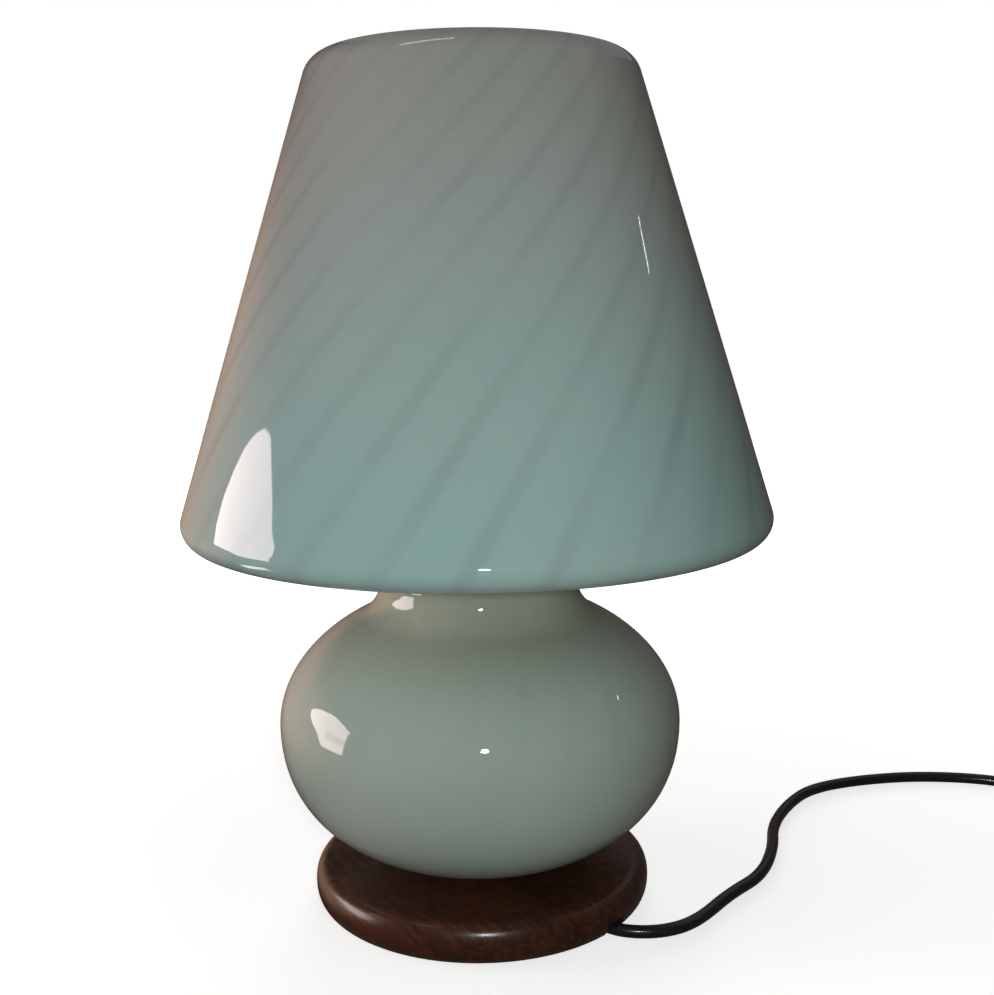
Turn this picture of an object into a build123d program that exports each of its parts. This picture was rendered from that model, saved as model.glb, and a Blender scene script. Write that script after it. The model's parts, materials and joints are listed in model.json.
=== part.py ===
"""Mushroom table lamp: one blown cased-glass body on a turned wooden base.

Frame: +Z up, origin on the lamp's axis on the table, -Y towards the viewer, millimetres.
The glass is shade, neck and belly in one blown piece, written as two solids that meet above
the belly. A threaded tube clamps it to the wooden base and carries the brass stem, the lamp
holder and the bulb. The flex leaves through a notch in the base's rim and ends in a coil and
a two-pin plug.
"""

import os
from math import asin, atan2, ceil, cos, hypot, pi, radians, sin, sqrt, tan

from build123d import *

# ---------------------------------------------------------------- driving dimensions
TOTAL_HEIGHT = 400.0

# wooden base and felt
FELT_PROUD = 0.6  # the felt stands this far below the wood
FELT_THICKNESS = 2.0
FELT_RADIUS = 64.0
WOOD_TOP = 19.9
WOOD_CORE_RADIUS = 74.3  # where the rounded rim begins
WOOD_RIM = 7.6  # how far the rim stands out of the core
RIM_FLATNESS, RIM_FULLNESS = 0.67, 0.63  # shares of its width and half height that round it
SEAT_RADIUS = 18.8
SEAT_DEPTH = 1.0
RECESS_RADIUS = 34.0
RECESS_CEILING = 13.0
TUBE_HOLE_RADIUS = 5.2

# blown glass
GLASS_WALL = 4.6
BELLY_RADIUS = 96.7
BELLY_BOTTOM = 20.9
BELLY_EQUATOR = 89.8
BELLY_RISE = 64.7  # upper half axis of the belly's ellipse
BELLY_LEAVES_AT = 63.3  # degrees, where the belly's curve passes into the neck
BELLY_FLATNESS, BELLY_FULLNESS = 0.62, 0.65  # shares of radius and depth that shape its lower curve
NECK_FILLET = 20.0
UNDERSIDE_RADIUS = 95.0
SHADE_CORNER = 9.2  # radius of the shade's lower corner
SHADE_CORNER_R, SHADE_CORNER_Z = 129.1, 190.9
SHOULDER = 13.7  # radius of the shade's upper shoulder
SHOULDER_R = 63.0
MOUTH_LIP = 2.0  # flat run of the rim inside the shoulder
FOOT_RADIUS = 18.0
FOOT_Z = 21.6
FOOT_THICKNESS = 4.8
GLASS_HOLE_RADIUS = 6.6
GLASS_DIVISION = 142.0  # height where the belly's solid ends and the neck and shade's begins

# clamp stack
THREAD_GAP = 0.02  # between a nut's or cap's plain bore and the tube
SLIDE_GAP = 0.1  # round pieces that slip over one another
TUBE_RADIUS, TUBE_BORE = 5.0, 4.0
TUBE_BOTTOM, TUBE_TOP = 7.0, 203.4
NUT_ACROSS_FLATS = 17.0
NUT_HEIGHT = 4.0
WASHER_RADIUS, WASHER_THICKNESS = 14.0, 1.5
BUSH_FLANGE_RADIUS, BUSH_FLANGE = 16.0, 1.5
CUP_RADIUS, CUP_THICKNESS = 15.0, 1.4
SLEEVE_RADIUS, SLEEVE_BORE = 6.5, 5.3

# lamp holder, E27
HOLDER_BOTTOM = 196.0
HOLDER_RADIUS = 19.5
HOLDER_SPLIT = 220.0
HOLDER_TOP = 254.0
HOLDER_WALL = 1.0
INSERT_TOP = 226.0
SCREW_SHELL_RADIUS = 14.1
SCREW_SHELL_BORE = 13.6

# bulb, 60 mm pear with an E27 cap
BULB_RADIUS = 30.0
BULB_LENGTH = 105.0
BULB_TIP = 230.0  # underside of the centre contact
BULB_CAP_RADIUS = 13.2
BULB_WALL = 0.9
BULB_NECK_RADIUS = 12.4

# flex, 6 mm round
CORD_DIAMETER = 6.0
CORD_R = CORD_DIAMETER / 2
CORD_Z = 3.2  # height of its axis where it lies on the table
CHANNEL_AZIMUTH = -42.0  # degrees from +X
CHANNEL_WIDTH = 9.6
CHANNEL_CEILING = 12.2
NOTCH_CEILING = 8.4
NOTCH_HALF_WIDTH = 8.0  # at the rim of the wood
RELIEF_INNER, RELIEF_TIP = 38.0, 62.0  # distances from the lamp's axis
RELIEF_LEAD = 16.0  # the free flex starts straight, along the relief
RELIEF_TIP_Z = 4.6
CORD_INNER, CORD_INNER_Z = 17.0, 6.9  # where the sheath is cut back in the recess
CORD_BENDS = 34.0  # distance from the axis where the flex turns down to the relief
RELIEF_THICK, RELIEF_THIN = 4.6, 3.8
CLAMP_AT, CLAMP_LENGTH, CLAMP_WIDTH = 21.8, 8.8, 24.0
CLAMP_BOTTOM = 3.2
WIRE_RADIUS = 0.9
WIRE_SPREAD = 1.3  # the two conductors lie this far either side of the axis
WIRE_FLOOR = 4.2  # height of the conductors under the tube

# route of the flex on the table: lamp to switch, switch to coil, coil to plug
SWITCH_X, SWITCH_Y = 352.0, -6.0
SWITCH_LENGTH, SWITCH_WIDTH = 64.0, 28.0
SWITCH_BOTTOM, SWITCH_SEAM, SWITCH_TOP = 0.2, 7.0, 15.6
SWITCH_ENTRY = 5.0  # how far the flex runs into the shell
COIL_START = (338.0, -95.0)
COIL_HEADING = -115.0  # degrees
COIL_OUTER = 41.0
COIL_PITCH = 6.5
COIL_TURNS = 5
COIL_LAYER = 6.5
COIL_LEAD_IN, COIL_LEAD_OUT = 15.0, 14.0  # straight runs before and after it

# plug, flat two-pin
PLUG_ENTRY = (250.0, -153.0)
PLUG_Z = 7.1
PLUG_LENGTH, PLUG_WIDTH, PLUG_THICKNESS = 34.0, 35.3, 13.7
PLUG_RELIEF = 22.0
PIN_RADIUS, PIN_LENGTH, PIN_SPACING = 2.0, 19.0, 18.6
PIN_ROOT, PIN_SLEEVE = 6.0, 10.0  # inside the plug, and insulated outside it

os.makedirs("parts", exist_ok=True)


def save(builder, name):
    """Label a finished piece and write it."""
    builder.part.label = name
    export_step(builder.part, f"parts/{name}.step")


def polar(radius, azimuth, z=0.0):
    """Point at a distance from the lamp's axis, in a direction from +X."""
    return Vector(radius * cos(radians(azimuth)), radius * sin(radians(azimuth)), z)


def corner_radii(points):
    """Largest arcs that the runs on both sides of each corner allow."""
    radii = []
    for before, corner, after in zip(points, points[1:], points[2:]):
        arriving = Vector(*corner) - Vector(*before)
        leaving = Vector(*after) - Vector(*corner)
        half_turn = radians(arriving.get_angle(leaving)) / 2
        radii.append(0.45 * min(arriving.length, leaving.length) / tan(half_turn))
    return radii


def flex(name, points, radius=CORD_R):
    """A free stretch of flex: straight runs joined by tangent arcs."""
    radii = corner_radii(points)
    with BuildPart() as tube:
        with BuildLine() as route:
            FilletPolyline(*points, radius=radii)
        with BuildSketch(Plane(origin=route.line @ 0, z_dir=route.line % 0)):
            Circle(radius)
        sweep()
    length = sum(edge.length for edge in route.edges())
    print(name, "length", round(length, 1), "radii", [round(r) for r in radii])
    print(name, "volume over section times length", round(tube.part.volume / (pi * radius**2 * length), 4))
    save(tube, name)
    return length


# ---------------------------------------------------------------- glass body
# The underside's arc touches the neck's fillet from outside and the shade's corner from inside.
leave = radians(BELLY_LEAVES_AT)
ellipse_angle = atan2(BELLY_RISE * sin(leave), BELLY_RADIUS * cos(leave))
neck_start = (BELLY_RADIUS * cos(ellipse_angle), BELLY_EQUATOR + BELLY_RISE * sin(ellipse_angle))
neck_centre = (neck_start[0] + NECK_FILLET * cos(leave), neck_start[1] + NECK_FILLET * sin(leave))
reach_neck = UNDERSIDE_RADIUS - NECK_FILLET
reach_corner = UNDERSIDE_RADIUS + SHADE_CORNER
gap_r = SHADE_CORNER_R - neck_centre[0]
gap_z = SHADE_CORNER_Z - neck_centre[1]
gap = hypot(gap_r, gap_z)
along = (reach_neck**2 - reach_corner**2 + gap**2) / (2 * gap)
aside = sqrt(reach_neck**2 - along**2)
under_centre = (
    neck_centre[0] + (along * gap_r + aside * gap_z) / gap,
    neck_centre[1] + (along * gap_z - aside * gap_r) / gap,
)


def towards(centre, target, distance):
    """Point at a distance from a centre, in the direction of a target."""
    step_r, step_z = target[0] - centre[0], target[1] - centre[1]
    scale = distance / hypot(step_r, step_z)
    return (centre[0] + step_r * scale, centre[1] + step_z * scale)


def on_circle(centre, radius, angle):
    """Point of a circle at an angle from the outward direction, in radians."""
    return (centre[0] + radius * cos(angle), centre[1] + radius * sin(angle))


corner_centre = (SHADE_CORNER_R, SHADE_CORNER_Z)
shoulder_centre = (SHOULDER_R, TOTAL_HEIGHT - SHOULDER)
# the shade's wall is the common tangent of its corner and its shoulder
wall_run, wall_rise = SHADE_CORNER_R - SHOULDER_R, shoulder_centre[1] - SHADE_CORNER_Z
wall_angle = atan2(wall_run, wall_rise) + asin((SHADE_CORNER - SHOULDER) / hypot(wall_run, wall_rise))


def glass_line(depth):
    """The glass's section at a depth under its outer face, from the axis to the rim."""
    radius, rise = BELLY_RADIUS - depth, BELLY_RISE - depth
    bottom, low_depth = BELLY_BOTTOM + depth, BELLY_EQUATOR - BELLY_BOTTOM - depth
    handle = 4 / 3 * tan(ellipse_angle / 4)
    reach = handle * hypot(radius * sin(ellipse_angle), rise * cos(ellipse_angle))
    fillet_radius, under_radius = NECK_FILLET + depth, UNDERSIDE_RADIUS + depth
    neck_low = on_circle(neck_centre, -fillet_radius, leave)
    before_neck = (neck_low[0] + reach * sin(leave), neck_low[1] - reach * cos(leave))
    neck_waist = on_circle(neck_centre, fillet_radius, pi)
    neck_high = towards(under_centre, neck_centre, under_radius)
    under_top = on_circle(under_centre, under_radius, pi / 2)
    under_end = towards(under_centre, corner_centre, under_radius)
    corner_low = on_circle(corner_centre, SHADE_CORNER - depth, -pi / 4)
    wall_low = on_circle(corner_centre, SHADE_CORNER - depth, wall_angle)
    wall_high = on_circle(shoulder_centre, SHOULDER - depth, wall_angle)
    shoulder_middle = on_circle(shoulder_centre, SHOULDER - depth, (wall_angle + pi / 2) / 2)
    shoulder_top = (SHOULDER_R, TOTAL_HEIGHT - depth)
    low_handle = (BELLY_FLATNESS * radius, bottom)
    high_handle = (radius, BELLY_EQUATOR - BELLY_FULLNESS * low_depth)
    Bezier((0, bottom), low_handle, high_handle, (radius, BELLY_EQUATOR))
    Bezier((radius, BELLY_EQUATOR), (radius, BELLY_EQUATOR + handle * rise), before_neck, neck_low)
    ThreePointArc(neck_low, neck_waist, neck_high)
    ThreePointArc(neck_high, under_top, under_end)
    ThreePointArc(under_end, corner_low, wall_low)
    Line(wall_low, wall_high)
    ThreePointArc(wall_high, shoulder_middle, shoulder_top)
    Line(shoulder_top, (SHOULDER_R - MOUTH_LIP, TOTAL_HEIGHT - depth))


with BuildPart() as blown_glass:
    with BuildSketch(Plane.XZ):
        with BuildLine():
            glass_line(0)
            glass_line(GLASS_WALL)
            Line((0, BELLY_BOTTOM), (0, BELLY_BOTTOM + GLASS_WALL))
            # fire-polished rim
            ThreePointArc(
                (SHOULDER_R - MOUTH_LIP, TOTAL_HEIGHT),
                (SHOULDER_R - MOUTH_LIP - GLASS_WALL / 2, TOTAL_HEIGHT - GLASS_WALL / 2),
                (SHOULDER_R - MOUTH_LIP, TOTAL_HEIGHT - GLASS_WALL),
            )
        make_face()
    revolve(axis=Axis.Z)
    # thick foot, ground flat where it stands on its gasket
    with BuildSketch(Plane.XY.offset(FOOT_Z)):
        Circle(FOOT_RADIUS)
    extrude(amount=FOOT_THICKNESS)
    split(bisect_by=Plane.XY.offset(FOOT_Z), keep=Keep.TOP)
    Hole(GLASS_HOLE_RADIUS)

# belly below the division, neck and shade above it
for name, side in (("glass_body", Keep.BOTTOM), ("glass_shade", Keep.TOP)):
    with BuildPart() as glass_half:
        add(blown_glass.part)
        split(bisect_by=Plane.XY.offset(GLASS_DIVISION), keep=side)
    save(glass_half, name)

# ---------------------------------------------------------------- wooden base
wood_bottom = FELT_PROUD
rim_half = (WOOD_TOP - wood_bottom) / 2
rim_middle = wood_bottom + rim_half
rim_out = WOOD_CORE_RADIUS + WOOD_RIM

with BuildPart() as wood_base:
    with BuildSketch(Plane.XZ):
        with BuildLine():
            Polyline(
                (WOOD_CORE_RADIUS, WOOD_TOP),
                (0, WOOD_TOP),
                (0, wood_bottom),
                (WOOD_CORE_RADIUS, wood_bottom),
            )
            for side in (-1, 1):
                Bezier(
                    (WOOD_CORE_RADIUS, rim_middle + side * rim_half),
                    (WOOD_CORE_RADIUS + RIM_FLATNESS * WOOD_RIM, rim_middle + side * rim_half),
                    (rim_out, rim_middle + side * RIM_FULLNESS * rim_half),
                    (rim_out, rim_middle),
                )
        make_face()
    revolve(axis=Axis.Z)
    with Locations((0, 0, WOOD_TOP)):
        Hole(SEAT_RADIUS, depth=SEAT_DEPTH)
    Hole(TUBE_HOLE_RADIUS)
    # underside: felt recess, wiring recess, cord channel and the notch in the rim
    with BuildSketch(Plane.XY.offset(wood_bottom)):
        Circle(FELT_RADIUS + 0.2)
    extrude(amount=FELT_THICKNESS - FELT_PROUD, mode=Mode.SUBTRACT)
    with BuildSketch(Plane.XY.offset(wood_bottom)):
        Circle(RECESS_RADIUS)
    extrude(amount=RECESS_CEILING - wood_bottom, mode=Mode.SUBTRACT)
    with BuildSketch(Plane.XY.offset(wood_bottom)):
        with Locations(Rotation(0, 0, CHANNEL_AZIMUTH)):
            with Locations((RECESS_RADIUS - 2, 0)):
                Rectangle(RELIEF_TIP - RECESS_RADIUS + 3, CHANNEL_WIDTH, align=(Align.MIN, Align.CENTER))
    extrude(amount=CHANNEL_CEILING - wood_bottom, mode=Mode.SUBTRACT)
    with BuildSketch(Plane.XY.offset(wood_bottom)):
        with Locations(Rotation(0, 0, CHANNEL_AZIMUTH)):
            Polygon(
                (RELIEF_TIP - 1, CHANNEL_WIDTH / 2),
                (RELIEF_TIP - 1, -CHANNEL_WIDTH / 2),
                (rim_out + 2, -CHANNEL_WIDTH / 2),
                (rim_out + 2, NOTCH_HALF_WIDTH),
                align=None,
            )
    extrude(amount=NOTCH_CEILING - wood_bottom, mode=Mode.SUBTRACT)
save(wood_base, "wood_base")

# ---------------------------------------------------------------- felt and gasket
with BuildPart() as felt_pad:
    with BuildSketch():
        Circle(FELT_RADIUS)
        with Locations(Rotation(0, 0, CHANNEL_AZIMUTH)):
            with Locations((RELIEF_INNER - 2, 0)):
                Rectangle(
                    FELT_RADIUS, CHANNEL_WIDTH, align=(Align.MIN, Align.CENTER), mode=Mode.SUBTRACT
                )
    extrude(amount=FELT_THICKNESS)
save(felt_pad, "felt_pad")

with BuildPart() as base_gasket:
    with BuildSketch(Plane.XY.offset(WOOD_TOP - SEAT_DEPTH)):
        Circle(SEAT_RADIUS - 0.3)
        Circle(TUBE_HOLE_RADIUS, mode=Mode.SUBTRACT)
    extrude(amount=FOOT_Z - WOOD_TOP + SEAT_DEPTH)
save(base_gasket, "base_gasket")


# ---------------------------------------------------------------- clamp stack on the tube
def hex_nut(name, bottom, across_flats=NUT_ACROSS_FLATS, height=NUT_HEIGHT):
    """A chamfered hexagon nut on the threaded tube."""
    with BuildPart() as nut:
        with BuildSketch(Plane.XY.offset(bottom)):
            RegularPolygon(across_flats / 2, 6, major_radius=False)
            Circle(TUBE_RADIUS + THREAD_GAP, mode=Mode.SUBTRACT)
        extrude(amount=height)
        with BuildSketch(Plane.XZ):
            with BuildLine():
                corner = across_flats / 2 / cos(pi / 6)
                Polyline(
                    (0, bottom),
                    (corner - 1.2, bottom),
                    (corner + 0.1, bottom + 0.8),
                    (corner + 0.1, bottom + height - 0.8),
                    (corner - 1.2, bottom + height),
                    (0, bottom + height),
                    close=True,
                )
            make_face()
        revolve(axis=Axis.Z, mode=Mode.INTERSECT)
    save(nut, name)


def turned(name, *outline):
    """A piece turned about the lamp's axis from its half section."""
    with BuildPart() as piece:
        with BuildSketch(Plane.XZ):
            with BuildLine():
                Polyline(*outline, close=True)
            make_face()
        revolve(axis=Axis.Z)
    save(piece, name)


bush_top = FOOT_Z + FOOT_THICKNESS + BUSH_FLANGE
cup_top = bush_top + CUP_THICKNESS
stem_bottom = cup_top + NUT_HEIGHT
washer_bottom = RECESS_CEILING - WASHER_THICKNESS

turned(
    "glass_bush",
    (TUBE_RADIUS + SLIDE_GAP, FOOT_Z + 0.2),
    (GLASS_HOLE_RADIUS - SLIDE_GAP, FOOT_Z + 0.2),
    (GLASS_HOLE_RADIUS - SLIDE_GAP, bush_top - BUSH_FLANGE),
    (BUSH_FLANGE_RADIUS, bush_top - BUSH_FLANGE),
    (BUSH_FLANGE_RADIUS, bush_top),
    (TUBE_RADIUS + SLIDE_GAP, bush_top),
)
turned(
    "cup_washer",
    (TUBE_RADIUS + SLIDE_GAP, bush_top),
    (CUP_RADIUS, bush_top),
    (CUP_RADIUS, bush_top + CUP_THICKNESS * 0.5),
    (CUP_RADIUS * 0.75, cup_top),
    (TUBE_RADIUS + SLIDE_GAP, cup_top),
)
hex_nut("glass_nut", cup_top)
turned(
    "base_washer",
    (TUBE_RADIUS + SLIDE_GAP, washer_bottom),
    (WASHER_RADIUS, washer_bottom),
    (WASHER_RADIUS, RECESS_CEILING),
    (TUBE_RADIUS + SLIDE_GAP, RECESS_CEILING),
)
hex_nut("base_nut", washer_bottom - NUT_HEIGHT)

with BuildPart() as threaded_tube:
    with BuildSketch(Plane.XY.offset(TUBE_BOTTOM)):
        Circle(TUBE_RADIUS)
        Circle(TUBE_BORE, mode=Mode.SUBTRACT)
    extrude(amount=TUBE_TOP - TUBE_BOTTOM)
save(threaded_tube, "threaded_tube")

# brass sleeve over the tube, with a turned collar at each end
turned(
    "stem_sleeve",
    (SLEEVE_BORE, stem_bottom),
    (SLEEVE_RADIUS + 2.0, stem_bottom),
    (SLEEVE_RADIUS + 2.0, stem_bottom + 2.0),
    (SLEEVE_RADIUS, stem_bottom + 4.5),
    (SLEEVE_RADIUS, HOLDER_BOTTOM - 4.5),
    (SLEEVE_RADIUS + 1.5, HOLDER_BOTTOM - 2.0),
    (SLEEVE_RADIUS + 1.5, HOLDER_BOTTOM),
    (SLEEVE_BORE, HOLDER_BOTTOM),
)

# ---------------------------------------------------------------- lamp holder
shell_radius = HOLDER_RADIUS - HOLDER_WALL - SLIDE_GAP
dome_low, dome_high = HOLDER_BOTTOM + 6.0, HOLDER_SPLIT - 6.0
dome_inner = dome_low + 1.3
ledge_z = HOLDER_SPLIT - 6.5
insert_bottom = ledge_z + HOLDER_WALL
with BuildPart() as holder_cap:
    with BuildSketch(Plane.XZ):
        with BuildLine():
            Polyline((8.0, dome_low), (8.0, HOLDER_BOTTOM), (TUBE_RADIUS + THREAD_GAP, HOLDER_BOTTOM))
            Polyline(
                (TUBE_RADIUS + THREAD_GAP, HOLDER_BOTTOM),
                (TUBE_RADIUS + THREAD_GAP, dome_inner),
                (8.2, dome_inner),
            )
            ThreePointArc((8.2, dome_inner), (15.2, dome_low + 4.9), (HOLDER_RADIUS - HOLDER_WALL, dome_high))
            Polyline(
                (HOLDER_RADIUS - HOLDER_WALL, dome_high),
                (HOLDER_RADIUS - HOLDER_WALL, HOLDER_SPLIT),
                (HOLDER_RADIUS, HOLDER_SPLIT),
                (HOLDER_RADIUS, dome_high),
            )
            ThreePointArc((HOLDER_RADIUS, dome_high), (16.0, dome_low + 3.9), (8.0, dome_low))
        make_face()
    revolve(axis=Axis.Z)
save(holder_cap, "holder_cap")

turned(
    "holder_shell",
    (14.0, ledge_z),
    (shell_radius, ledge_z),
    (shell_radius, HOLDER_SPLIT),
    (HOLDER_RADIUS, HOLDER_SPLIT),
    (HOLDER_RADIUS, HOLDER_TOP - 1.0),
    (HOLDER_RADIUS - 1.0, HOLDER_TOP),
    (15.2, HOLDER_TOP),
    (15.2, HOLDER_TOP - HOLDER_WALL),
    (shell_radius - HOLDER_WALL, HOLDER_TOP - HOLDER_WALL),
    (shell_radius - HOLDER_WALL, insert_bottom),
    (14.0, insert_bottom),
)

insert_radius = shell_radius - HOLDER_WALL - SLIDE_GAP
terminal_x, terminal_height = 9.0, 3.0
with BuildPart() as holder_insert:
    with BuildSketch(Plane.XY.offset(insert_bottom)):
        Circle(insert_radius)
    extrude(amount=INSERT_TOP - insert_bottom)
    chamfer(holder_insert.edges().group_by(Axis.Z)[0], 0.5)
save(holder_insert, "holder_insert")

with BuildPart() as holder_terminals:
    for side in (-1, 1):
        with BuildSketch(Plane.XY.offset(insert_bottom)):
            with Locations((side * terminal_x, 0)):
                Rectangle(6.0, 5.0)
        extrude(amount=-terminal_height)
        with BuildSketch(Plane.XZ.offset(2.5)):
            with Locations((side * terminal_x, insert_bottom - terminal_height / 2)):
                Circle(1.2)
        extrude(amount=2.0)
save(holder_terminals, "holder_terminals")

with BuildPart() as holder_sleeve:
    with BuildSketch(Plane.XY.offset(INSERT_TOP)):
        Circle(insert_radius)
        Circle(SCREW_SHELL_RADIUS + SLIDE_GAP, mode=Mode.SUBTRACT)
    extrude(amount=HOLDER_TOP - HOLDER_WALL - INSERT_TOP)
save(holder_sleeve, "holder_sleeve")

turned(
    "screw_shell",
    (10.5, INSERT_TOP),
    (SCREW_SHELL_RADIUS, INSERT_TOP),
    (SCREW_SHELL_RADIUS, HOLDER_TOP - 3.0),
    (SCREW_SHELL_BORE, HOLDER_TOP - 3.0),
    (SCREW_SHELL_BORE, INSERT_TOP + 0.6),
    (10.5, INSERT_TOP + 0.6),
)

contact_top = BULB_TIP - 0.05
with BuildPart() as centre_contact:
    with BuildSketch(Plane.XZ.offset(-2.5)):
        with BuildLine():
            Polyline(
                (-8.0, INSERT_TOP),
                (-3.4, INSERT_TOP),
                (-1.9, contact_top - 0.6),
                (1.9, contact_top - 0.6),
                (3.4, INSERT_TOP),
                (8.0, INSERT_TOP),
                (8.0, INSERT_TOP + 0.6),
                (3.8, INSERT_TOP + 0.6),
                (2.3, contact_top),
                (-2.3, contact_top),
                (-3.8, INSERT_TOP + 0.6),
                (-8.0, INSERT_TOP + 0.6),
                close=True,
            )
        make_face()
    extrude(amount=5.0)
save(centre_contact, "centre_contact")

# ---------------------------------------------------------------- bulb
bulb_equator = BULB_TIP + BULB_LENGTH - BULB_RADIUS
cap_bottom, cap_top = BULB_TIP + 5.0, BULB_TIP + 26.0
thread_pitch, thread_turns = 3.62, 4
thread_start = cap_bottom + 2.6
neck_bottom = cap_top - 9.0


def bulb_line(depth):
    """Half section of the bulb's glass at a depth under its outer face."""
    radius, neck = BULB_RADIUS - depth, BULB_NECK_RADIUS - depth - 0.4
    Line((neck, neck_bottom), (neck, cap_top))
    Bezier((neck, cap_top), (neck, cap_top + 22), (radius, bulb_equator - 26), (radius, bulb_equator))
    CenterArc((0, bulb_equator), radius, 0, 90)


with BuildPart() as bulb_glass:
    with BuildSketch(Plane.XZ):
        with BuildLine():
            bulb_line(0)
            bulb_line(BULB_WALL)
            Line((BULB_NECK_RADIUS - 0.4, neck_bottom), (BULB_NECK_RADIUS - 0.4 - BULB_WALL, neck_bottom))
            Line((0, bulb_equator + BULB_RADIUS), (0, bulb_equator + BULB_RADIUS - BULB_WALL))
        make_face()
    revolve(axis=Axis.Z)
save(bulb_glass, "bulb_glass")

# the cap's rolled thread is drawn as rounded ridges a pitch apart
with BuildPart() as bulb_cap:
    with BuildSketch(Plane.XZ):
        with BuildLine():
            Polyline(
                (BULB_CAP_RADIUS, thread_start),
                (BULB_CAP_RADIUS - 0.6, cap_bottom + 0.8),
                (11.0, cap_bottom),
                (10.4, cap_bottom + 0.5),
                (12.1, cap_bottom + 1.6),
                (12.1, cap_top),
                (BULB_CAP_RADIUS + 0.2, cap_top),
                (BULB_CAP_RADIUS, thread_start + thread_turns * thread_pitch),
            )
            for turn in range(thread_turns):
                low = thread_start + turn * thread_pitch
                ThreePointArc(
                    (BULB_CAP_RADIUS, low),
                    (BULB_CAP_RADIUS - 0.7, low + thread_pitch / 2),
                    (BULB_CAP_RADIUS, low + thread_pitch),
                )
        make_face()
    revolve(axis=Axis.Z)
save(bulb_cap, "bulb_cap")

turned(
    "bulb_insulator",
    (0, BULB_TIP + 1.8),
    (4.8, BULB_TIP + 1.8),
    (10.2, cap_bottom + 0.3),
    (10.2, cap_bottom + 1.4),
    (0, cap_bottom + 1.4),
)
turned(
    "bulb_contact",
    (0, BULB_TIP),
    (2.6, BULB_TIP),
    (4.2, BULB_TIP + 1.0),
    (4.2, BULB_TIP + 1.8),
    (0, BULB_TIP + 1.8),
)
turned(
    "bulb_stem",
    (0, neck_bottom),
    (BULB_NECK_RADIUS - 0.4 - BULB_WALL, neck_bottom),
    (BULB_NECK_RADIUS - 0.4 - BULB_WALL, neck_bottom + 1.0),
    (4.0, neck_bottom + 14.0),
    (2.2, neck_bottom + 18.0),
    (2.2, neck_bottom + 34.0),
    (0, neck_bottom + 35.5),
)

filament_z = bulb_equator - 4.0
stem_top = neck_bottom + 33.0
with BuildPart() as bulb_filament:
    with BuildLine() as filament_path:
        FilletPolyline(
            (-1.9, 0, stem_top),
            (-10.0, 0, filament_z),
            (-4.0, 2.5, filament_z + 2.5),
            (4.0, 2.5, filament_z + 2.5),
            (10.0, 0, filament_z),
            (1.9, 0, stem_top),
            radius=1.2,
        )
    with BuildSketch(Plane(origin=filament_path.line @ 0, z_dir=filament_path.line % 0)):
        Circle(0.3)
    sweep()
save(bulb_filament, "bulb_filament")

# ---------------------------------------------------------------- wiring inside the base and the stem
inner_end = polar(CORD_INNER, CHANNEL_AZIMUTH, CORD_INNER_Z)
bend_point = polar(CORD_BENDS, CHANNEL_AZIMUTH, CORD_INNER_Z)
relief_tip = polar(RELIEF_TIP, CHANNEL_AZIMUTH, RELIEF_TIP_Z)
relief_axis = (relief_tip - bend_point).normalized()
relief_length = (RELIEF_TIP - RELIEF_INNER) / cos(radians(relief_axis.get_angle(polar(1, CHANNEL_AZIMUTH))))
flex("inner_cord", [tuple(inner_end), tuple(bend_point), tuple(relief_tip)])

with BuildPart() as strain_relief:
    relief_plane = Plane(origin=relief_tip - relief_axis * relief_length, z_dir=relief_axis)
    with BuildSketch(relief_plane):
        Circle(RELIEF_THICK)
    with BuildSketch(relief_plane.offset(relief_length)):
        Circle(RELIEF_THIN)
    loft()
    with BuildSketch(relief_plane):
        Circle(CHANNEL_WIDTH / 2)
    extrude(amount=2.0)
    with BuildSketch(relief_plane):
        Circle(CORD_R + 0.05)
    extrude(amount=relief_length, mode=Mode.SUBTRACT)
save(strain_relief, "strain_relief")

# moulded clamp in two halves that holds the flex against the recess's ceiling
clamp_plane = Plane(
    origin=polar(CLAMP_AT, CHANNEL_AZIMUTH, CORD_INNER_Z), x_dir=polar(1, CHANNEL_AZIMUTH), z_dir=(0, 0, 1)
)
clamp_screw_at = CLAMP_WIDTH / 2 - 4.5
clamp_heights = {"clamp_base": RECESS_CEILING - CORD_INNER_Z, "clamp_bridge": CLAMP_BOTTOM - CORD_INNER_Z}
for name, height in clamp_heights.items():
    with BuildPart() as clamp:
        with BuildSketch(clamp_plane):
            RectangleRounded(CLAMP_LENGTH, CLAMP_WIDTH, 2.0)
            with Locations((0, clamp_screw_at), (0, -clamp_screw_at)):
                Circle(1.6, mode=Mode.SUBTRACT)
        extrude(amount=height)
        with BuildSketch(Plane(origin=clamp_plane.origin, z_dir=clamp_plane.x_dir)):
            Circle(CORD_R + 0.02)
        extrude(amount=CLAMP_LENGTH, both=True, mode=Mode.SUBTRACT)
    save(clamp, name)

with BuildPart() as clamp_screws:
    with BuildSketch(clamp_plane.offset(CLAMP_BOTTOM - CORD_INNER_Z - 1.0)):
        with Locations((0, clamp_screw_at), (0, -clamp_screw_at)):
            Circle(2.8)
    extrude(amount=1.0)
    with BuildSketch(clamp_plane.offset(CLAMP_BOTTOM - CORD_INNER_Z)):
        with Locations((0, clamp_screw_at), (0, -clamp_screw_at)):
            Circle(1.5)
    extrude(amount=RECESS_CEILING - CLAMP_BOTTOM - 0.1)
save(clamp_screws, "clamp_screws")

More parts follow.
